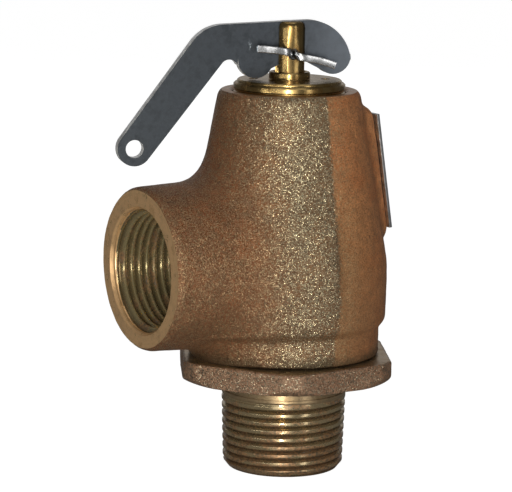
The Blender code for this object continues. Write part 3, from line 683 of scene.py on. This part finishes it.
def nozzle_piece():
    """The inlet nozzle: helical male thread, plain neck, cast hexagon, spigot and seat."""
    flange = cast_mesh(
        "nozzle_with_thread", flange_field, (-32.5, -32.5, 23.6), (32.5, 32.5, 33), 0.5, flange_relief
    )
    top = MALE_THREAD_TOP
    thread = threaded_rod(
        "male_thread",
        0,
        top + 0.8,
        lambda z: MALE_THREAD_RADIUS + TAPER * z,
        1.25,
        lambda z: np.clip((top - z) / 2.0, 0, 1),
        crest=0.17,
        root=0.03,
        power=1.5,
    )
    under = FLANGE_BOTTOM - 0.25
    neck = [(0, 26.5), (17.0, 26.5), (17.0, under), (16.55, under - 0.5), (16.5, top), (0, top)]
    spigot = [
        (0, 44), (14.2, 44), (14.2, 42.4), (15.6, 41.4), (15.6, 39.2), (20.0, 39.2), (20.6, 38.6), (20.6, 30),
        (0, 30),
    ]
    bore = [(0, 46), (12.6, 46), (12.6, 0.8), (13.3, -0.1), (13.3, -2), (0, -2)]
    chamfer = [(0, 60), (42, 60), (42, 22), (17.4, 3.1), (14.9, 0), (0, 0)]
    boolean(flange, "UNION", thread, lathe("neck", neck), lathe("spigot", spigot))
    boolean(flange, "INTERSECT", lathe("end_chamfer", chamfer))
    boolean(flange, "DIFFERENCE", lathe("bore", bore))
    dress(
        flange,
        flange_bronze(),
        thread_bronze("male_thread_bronze", (0, 0, 0), "Z", 15.7, 15.0, (0.47, 0.37, 0.22), 11),
        machined_bronze("machined_neck", (0, 0, 0), "Z", (0.40, 0.29, 0.17), 0.85),
    )

    def choose(c, n):
        cast, thread, turned = range(3)
        index = np.full(len(c), cast, np.int32)
        radius = np.hypot(c[:, 0], c[:, 1])
        index[(c[:, 2] < top) & (radius < 18)] = thread
        index[(c[:, 2] >= top - 0.3) & (radius < 17.1)] = turned
        index[(c[:, 2] > FLANGE_TOP + 0.3) & (radius < 20.8)] = turned
        index[(c[:, 2] > FLANGE_TOP - 0.15) & (n[:, 2] > 0.97)] = turned
        return index

    paint_faces(flange, choose)
    return shaded(flange, 28)


def arc(centre, radius, start, end, steps):
    """Points along an arc, between two angles in degrees."""
    angles = [radians(start + (end - start) * i / steps) for i in range(steps + 1)]
    return [(centre[0] + radius * cos(a), centre[1] + radius * sin(a)) for a in angles]


def fillet(first, second, radius):
    """The centre and the two angles of a fillet on the right of two lines, each a point and a heading."""
    shifted = []
    for (x, y), heading in (first, second):
        a = radians(heading)
        shifted.append((Vector((x + radius * sin(a), y - radius * cos(a))), Vector((cos(a), sin(a)))))
    (p, d), (q, e) = shifted
    along = (q - p).cross(e) / d.cross(e)
    return tuple(p + along * d), first[1] + 90, second[1] + 90


def lever_outline():
    """The lever's edge in mm, clockwise, with the pivot at (0, 0) and the handle towards +X."""
    turn = radians(LEVER_ANGLE)
    across = Vector((-sin(turn), cos(turn))) * LEVER_WIDTH / 2
    bend, notch, lobe = 11, 2.4, 4.8  # radii
    handle = (tuple(Vector(LEVER_END) + across), LEVER_ANGLE)
    centre, start, stop = fillet(((0, 8.75), -3), handle, bend)
    points = arc((-4.5, -3.2), 12, 174, 87, 40)
    points += arc(centre, bend, start, stop, 24)
    points += arc(LEVER_END, LEVER_WIDTH / 2, LEVER_ANGLE + 90, LEVER_ANGLE - 90, 32)
    points += arc((16.9, -1.5 - notch), notch, LEVER_ANGLE + 90, 158, 18)
    points += arc((9.7, -1.7), lobe, 8, -152, 36)
    points += [(1.6, -2.1), (-4.2, -2.2)]
    points += arc((-11.55, -0.8), lobe, -48, -186, 36)
    return points


def lever_frame():
    """The lever's frame: its origin on the pin, X towards the handle, Z up."""
    turn = Matrix.Rotation(radians(LEVER_AZIMUTH), 4, "Z")
    return Matrix.Translation((0, 0, PIVOT_Z * MM)) @ turn


def lever_piece():
    """The stamped lever plate, its rounded edge and sides given a near-white finish as a painted highlight.
    """
    curve = bpy.data.curves.new("lever_plate", "CURVE")
    curve.dimensions = "2D"
    curve.fill_mode = "BOTH"
    curve.extrude = LEVER_THICKNESS / 2 * MM
    pin_hole = arc((0, 0), PIN_HOLE_RADIUS, 0, 352.5, 47)
    pull_hole = arc(LEVER_END, 2.38, 0, 354, 59)
    for loop in (lever_outline(), pin_hole, pull_hole):
        spline = curve.splines.new("POLY")
        spline.points.add(len(loop) - 1)
        for point, (x, y) in zip(spline.points, loop):
            point.co = (x * MM, y * MM, 0, 1)
        spline.use_cyclic_u = True
    made = bpy.data.objects.new("curve", curve)
    bpy.context.scene.collection.objects.link(made)
    bpy.context.view_layer.update()
    mesh = bpy.data.meshes.new_from_object(made.evaluated_get(bpy.context.evaluated_depsgraph_get()))
    bpy.data.objects.remove(made)
    plate = bpy.data.objects.new("lever_plate", mesh)
    bpy.context.scene.collection.objects.link(plate)
    tidied(plate)
    shape = bmesh.new()
    shape.from_mesh(plate.data)
    for side in (1, -1):
        flat = [f for f in shape.faces if f.normal.z * side > 0.9]
        bmesh.ops.dissolve_faces(shape, faces=flat)
    shape.to_mesh(plate.data)
    shape.free()
    softened(plate, 0.45, 4, 50)
    dark = zinc_steel("dark_zinc", (0.096, 0.109, 0.129), 0.34, 0.5)
    # Painted highlight: the rounded edge and sides are near-white, standing in for the bright line the lamps
    # make along them.
    edge = zinc_steel("edge_painted_highlight", (0.97, 0.98, 1.0), 0.22, metallic=0.1)
    dress(plate, dark, edge)
    paint_faces(plate, lambda c, n: (np.abs(n[:, 2]) < 0.99).astype(np.int32))
    for face in plate.data.polygons:
        face.use_smooth = abs(face.normal.z) < 0.999
    plate.data.transform(lever_frame() @ Matrix.Rotation(pi / 2, 4, "X"))
    return plate


def sweep(name, path, section, facing):
    """A closed bar along a path, all in mm. facing(i) says which way the section's second axis looks."""
    path = [Vector(p) for p in path]
    points, faces, ring = [], [], len(section)
    for i, p in enumerate(path):
        tangent = (path[min(i + 1, len(path) - 1)] - path[max(i - 1, 0)]).normalized()
        out = facing(i)
        out = (out - tangent * out.dot(tangent)).normalized()
        side = tangent.cross(out)
        points += [(p + side * a + out * b) * MM for a, b in section]
    for i in range(len(path) - 1):
        for j in range(ring):
            k = (j + 1) % ring
            faces.append((i * ring + j, i * ring + k, (i + 1) * ring + k, (i + 1) * ring + j))
    faces.append(tuple(range(ring))[::-1])
    faces.append(tuple((len(path) - 1) * ring + j for j in range(ring)))
    return shaded(tidied(object_of(name, points, faces)), 40)


def curve_through(points, per):
    """A smooth line through points, as a Catmull-Rom spline with this many steps between them."""
    p = [Vector(q) for q in points]
    p = [2 * p[0] - p[1], *p, 2 * p[-1] - p[-2]]
    line = []
    for a, b, c, d in zip(p, p[1:], p[2:], p[3:]):
        square, cube = 2 * a - 5 * b + 4 * c - d, 3 * b - a - 3 * c + d
        for i in range(per):
            t = i / per
            line.append(0.5 * (2 * b + (c - a) * t + square * t**2 + cube * t**3))
    return [*line, p[-2]]


def cotter_piece():
    """The split pin: half-round wire, its eye behind the stem and its flat legs bent apart in front."""
    front, half = STEM_RADIUS + 0.75, 0.95
    eye_y, eye_radius = -7.4, 1.9
    turns = [radians(-150 + 25 * i) for i in range(13)]
    eye = [(eye_radius * sin(a), eye_y - eye_radius * cos(a), 0) for a in turns]
    left = [(10.2, front + 0.25, 1.7), (7.8, front + 0.15, 1.5), (5.2, front, 1.2), (2.4, front, 0.75)]
    left += [(1.1, front - 0.5, 0.4), (0.5, front - 1.6, 0.1), (0.48, 0, 0), (0.48, -4.6, 0)]
    right = [(-0.48, -4.6, 0), (-0.48, 0, 0), (-0.5, front - 1.6, -0.1), (-1.1, front - 0.5, -0.4)]
    right += [(-2.4, front, -0.8), (-5.2, front, -1.3), (-8.4, front, -2.1), (-11.2, front, -3.0)]
    path = curve_through([*left, *eye[::-1], *right], 5)

    def facing(i):
        p = path[i]
        if p.y < -4.6:
            return (Vector((0, eye_y, 0)) - p).normalized()
        inward = Vector((-1 if p.x > 0 else 1, 0, 0))
        share = min(1.0, max(0.0, (abs(p.x) - 0.6) / 1.2)) if p.y > 0 else 0.0
        return (inward * (1 - share) + Vector((0, 1, 0)) * share).normalized()

    flat = 0.28
    rounded = [(half * cos(a), flat - (half - 0.1) * sin(a)) for a in [pi * i / 12 for i in range(13)]]
    section = [*rounded, (-half + 0.08, flat + 0.06), (half - 0.08, flat + 0.06)]
    pin = sweep("split_pin", path, section, facing)
    pin.data.transform(lever_frame())
    return dress(pin, zinc_steel("bright_zinc", (0.78, 0.80, 0.83), 0.22))


def stem_piece():
    """The turned stem with its slot for the lever, the pin's cross hole and two grooves lower down."""
    profile = [
        (0, 120.6), (2.9, 120.6), (3.35, 120.45), (3.75, 120.05), (3.93, 119.5), (STEM_RADIUS, 119.0),
        (STEM_RADIUS, 62.3), (2.7, 62.3), (2.7, 60.3), (STEM_RADIUS, 60.3), (STEM_RADIUS, 58.9), (2.6, 58.9),
        (2.6, 56.9), (STEM_RADIUS, 56.9), (STEM_RADIUS, 55.7), (3.47, 55.2), (0, 55.2),
    ]
    rod = lathe("stem_rod", profile, 96)
    slot = box("slot", (-8, -1.8, 106.4 - PIVOT_Z), (8, 1.8, 20), lever_frame())
    drill = [(0, 8), (PIN_HOLE_RADIUS, 8), (PIN_HOLE_RADIUS, -8), (0, -8)]
    hole = lathe("cross_hole", drill, 40)
    hole.data.transform(lever_frame() @ Matrix.Rotation(pi / 2, 4, "X"))
    boolean(rod, "DIFFERENCE", slot, hole)
    return softened(rod, 0.12, 2, 50)


def screw_piece():
    """The compression screw: two turned tiers, a hub round the stem and two spanner holes."""
    profile = [
        (4.3, 106.9), (4.6, 107.2), (5.2, 107.2), (5.5, 106.9), (5.5, 105.45), (5.75, 105.25),
        (13.6, SCREW_TOP), (13.95, 104.9), (13.95, 104.55), (14.1, 104.35), (14.55, 104.3), (14.9, 103.95),
        (14.9, 102.9), (14.55, 102.6), (14.55, 102.1), (14.9, 101.8), (14.9, 95.2), (14.3, 94.6), (4.3, 94.6),
    ]
    screw = lathe("compression_screw_turned", profile, 144)
    place = Matrix.Translation((9.6 * MM, 0, SCREW_TOP * MM))
    for turn in (-26, 154):
        hole = lathe("spanner_hole", [(0, 2), (1.5, 2), (1.3, -0.05), (1.3, -3.4), (0, -4)], 32)
        hole.data.transform(Matrix.Rotation(radians(turn), 4, "Z") @ place)
        boolean(screw, "DIFFERENCE", hole)
    return shaded(screw, 30)


def spring_piece():
    """The spring: one smooth round wire, with closer coils at both ends."""
    closed, closed_pitch, steps, sides = 0.75, 2.1 * WIRE_RADIUS, 216, 20
    middle = SPRING_TOP - SPRING_BOTTOM - 2 * WIRE_RADIUS - 2 * closed * closed_pitch
    pitch = middle / (SPRING_TURNS - 2 * closed)
    path = []
    for i in range(steps + 1):
        turn = SPRING_TURNS * i / steps
        angle = 2 * pi * turn
        first, last = min(turn, closed), max(0, turn - (SPRING_TURNS - closed))
        z = SPRING_BOTTOM + WIRE_RADIUS + closed_pitch * (first + last) + pitch * (turn - first - last)
        path.append((SPRING_RADIUS * cos(angle), SPRING_RADIUS * sin(angle), z))
    angles = [2 * pi * i / sides for i in range(sides)]
    section = [(WIRE_RADIUS * cos(a), WIRE_RADIUS * sin(a)) for a in angles]
    return sweep("spring_coil", path, section, lambda i: Vector((0, 0, 1)))


def plate_piece():
    """The blank nameplate with a raised border."""
    half_width, half_height, border = 11, 15.7, 1
    plate = box("blank_plate", (-0.8, -half_width, -half_height), (0, half_width, half_height))
    half_width, half_height = half_width - border, half_height - border
    field = box("field", (-0.22, -half_width, -half_height), (1, half_width, half_height))
    boolean(plate, "DIFFERENCE", field)
    for end in DRIVE_SCREW_HEIGHTS:
        hole = lathe("plate_hole", [(0, 2), (1.3, 2), (1.3, -2), (0, -2)], 32)
        hole.data.transform(across_plate(end))
        boolean(plate, "DIFFERENCE", hole)
    softened(plate, 0.1, 2, 50)
    plate.data.transform(pad_frame(0))
    return plate


# The scene


def lights(target, back, right, up):
    """A narrow warm key in front, broad fills, and small cards for the plate's side and the outlet's bore."""

    def area(name, place, size, power, colour=(1, 1, 1)):
        data = bpy.data.lights.new(name, "AREA")
        data.shape = "RECTANGLE"
        data.size, data.size_y = size
        data.energy = power
        data.color = colour
        obj = bpy.data.objects.new(name, data)
        bpy.context.scene.collection.objects.link(obj)
        obj.location = target + place
        obj.rotation_euler = (-place).to_track_quat("-Z", "Y").to_euler()

    front = Vector((back.x, back.y, 0)).normalized()
    area("key_strip", front * 0.66 - right * 0.03, (0.03, 0.62), 2.0, (1.0, 0.97, 0.84))
    area("key_lamp", front * 0.66 - right * 0.03 + up * 0.02, (0.035, 0.035), 0.8, (1.0, 0.97, 0.84))
    area("front_fill", front * 0.9 - right * 0.05, (0.6, 0.8), 1.75, (1.0, 0.97, 0.92))
    area("top_soft", up * 0.7 + back * 0.1, (0.5, 0.5), 0.5)
    area("side_card", front * 0.26 + right * 0.22, (0.06, 0.40), 0.16, (1.0, 0.97, 0.92))
    area("outlet_bar", front * 0.43 - right * 0.35, (0.35, 0.02), 0.2, (1.0, 0.99, 0.94))
    area("back_soft", up * 0.25 - front * 0.9, (0.9, 0.9), 0.8)


def world():
    """White where the camera sees it, and a dim grey in what it lights."""
    made = bpy.data.worlds.new("studio")
    bpy.context.scene.world = made
    made.use_nodes = True
    tree = made.node_tree
    tree.nodes["Background"].inputs["Color"].default_value = (0.1, 0.1, 0.1, 1)
    white = tree.nodes.new("ShaderNodeBackground")
    white.inputs["Color"].default_value = (1, 1, 1, 1)
    path, mix = tree.nodes.new("ShaderNodeLightPath"), tree.nodes.new("ShaderNodeMixShader")
    tree.links.new(path.outputs["Is Camera Ray"], mix.inputs[0])
    tree.links.new(tree.nodes["Background"].outputs[0], mix.inputs[1])
    tree.links.new(white.outputs[0], mix.inputs[2])
    tree.links.new(mix.outputs[0], tree.nodes["World Output"].inputs["Surface"])


def floor_finish():
    """Pale paper: nearly white where it is seen, and a dim grey in what it reflects onto the valve."""
    f = Finish("pale_floor", (0.3, 0.3, 0.3), 0.0, 0.9)
    seen = f.add("ShaderNodeLightPath").outputs["Is Camera Ray"]
    f.shader.inputs["Emission Color"].default_value = (1, 1, 1, 1)
    f.feed(f.shader.inputs["Emission Strength"], f.between(seen, 0.0, 1.0, 0.0, 0.96))
    return f.material


def paper_floor():
    """A large round sheet under the valve, which casts no shadow and isn't mirrored in the metal."""
    shape = bmesh.new()
    bmesh.ops.create_circle(shape, cap_ends=True, segments=96, radius=3.0)
    mesh = bpy.data.meshes.new("floor")
    shape.to_mesh(mesh)
    shape.free()
    floor = bpy.data.objects.new("floor", mesh)
    bpy.context.scene.collection.objects.link(floor)
    dress(floor, floor_finish())
    floor.visible_glossy = floor.visible_shadow = False


def studio():
    """The camera, low in front of the outlet's side, with the lights, the world and the floor."""
    azimuth, elevation, roll = radians(-30.812), radians(10.055), radians(0.98)
    distance, aim_right, aim_height = 698.659, -8.132, 59.921
    back = Vector((sin(azimuth) * cos(elevation), -cos(azimuth) * cos(elevation), sin(elevation)))
    right = Vector((cos(azimuth), sin(azimuth), 0))
    up = back.cross(right)
    target = right * aim_right * MM + Vector((0, 0, aim_height * MM))
    rolled_right, rolled_up = right * cos(roll) + up * sin(roll), up * cos(roll) - right * sin(roll)
    camera = bpy.data.objects.new("camera", bpy.data.cameras.new("camera"))
    bpy.context.scene.collection.objects.link(camera)
    bpy.context.scene.camera = camera
    camera.data.sensor_width = 36
    camera.data.lens = 182.8125
    camera.data.clip_start, camera.data.clip_end = 0.05, 20
    axes = Matrix((rolled_right, rolled_up, back)).transposed().to_4x4()
    camera.matrix_world = Matrix.Translation(target + back * distance * MM) @ axes
    lights(Vector((0, 0, 0.06)), back, right, up)
    world()
    paper_floor()
    bpy.context.scene.view_settings.view_transform = "Standard"


def corners(bounds):
    """A box's two corners as plain lists."""
    return [list(bounds[0]), list(bounds[1])]


def dress_nodes(nodes, brass):
    """Gives the pieces that keep their CAD shape their looks."""
    bright = (0.70, 0.72, 0.74)
    looks = (
        (brass, ("disc_holder", "wing_guide")),
        (zinc_steel("plated_steel", (0.42, 0.43, 0.45), 0.3), ("upper_spring_step", "lower_spring_step")),
        (zinc_steel("screw_zinc", bright, 0.25), ("nameplate_screw_upper", "nameplate_screw_lower")),
        (
            zinc_steel("inner_steel", bright, 0.25),
            ("guide_screw", "pivot_ball", "disc_retaining_pin", "stem_retaining_ring"),
        ),
        (plain_finish("gasket_fibre", (0.03, 0.027, 0.025), 0.0, 0.8, 0.8), ("nozzle_gasket",)),
        (plain_finish("seat_plastic", (0.85, 0.85, 0.82), 0.0, 0.5, 3.0), ("seat_disc",)),
    )
    for material, names in looks:
        for name in names:
            dress(nodes[name], material)


def main():
    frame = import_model()
    brass = turned_brass()
    dress_nodes(frame["nodes"], brass)
    spring = dress(spring_piece(), zinc_steel("spring_steel", (0.30, 0.31, 0.33), 0.3))
    aluminium = zinc_steel("plain_aluminium", (0.72, 0.73, 0.74), 0.34)
    pieces = (
        (body_piece(), "housing", "valve_body", "cast_bronze"),
        (nozzle_piece(), "housing", "inlet_nozzle", "flange_bronze"),
        (dress(screw_piece(), brass), "housing", "compression_screw", "turned_brass"),
        (dress(plate_piece(), aluminium), "housing", "nameplate", "plain_aluminium"),
        (spring, "housing", "valve_spring", "spring_steel"),
        (dress(stem_piece(), brass), "spindle", "stem", "turned_brass"),
        (cotter_piece(), "spindle", "cotter_pin", "bright_steel"),
        (lever_piece(), "test_lever", "lever", "plated_steel"),
    )
    for piece, body, node, slot in pieces:
        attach(piece, body)
        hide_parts(node)
    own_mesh(spring)
    studio()


main()
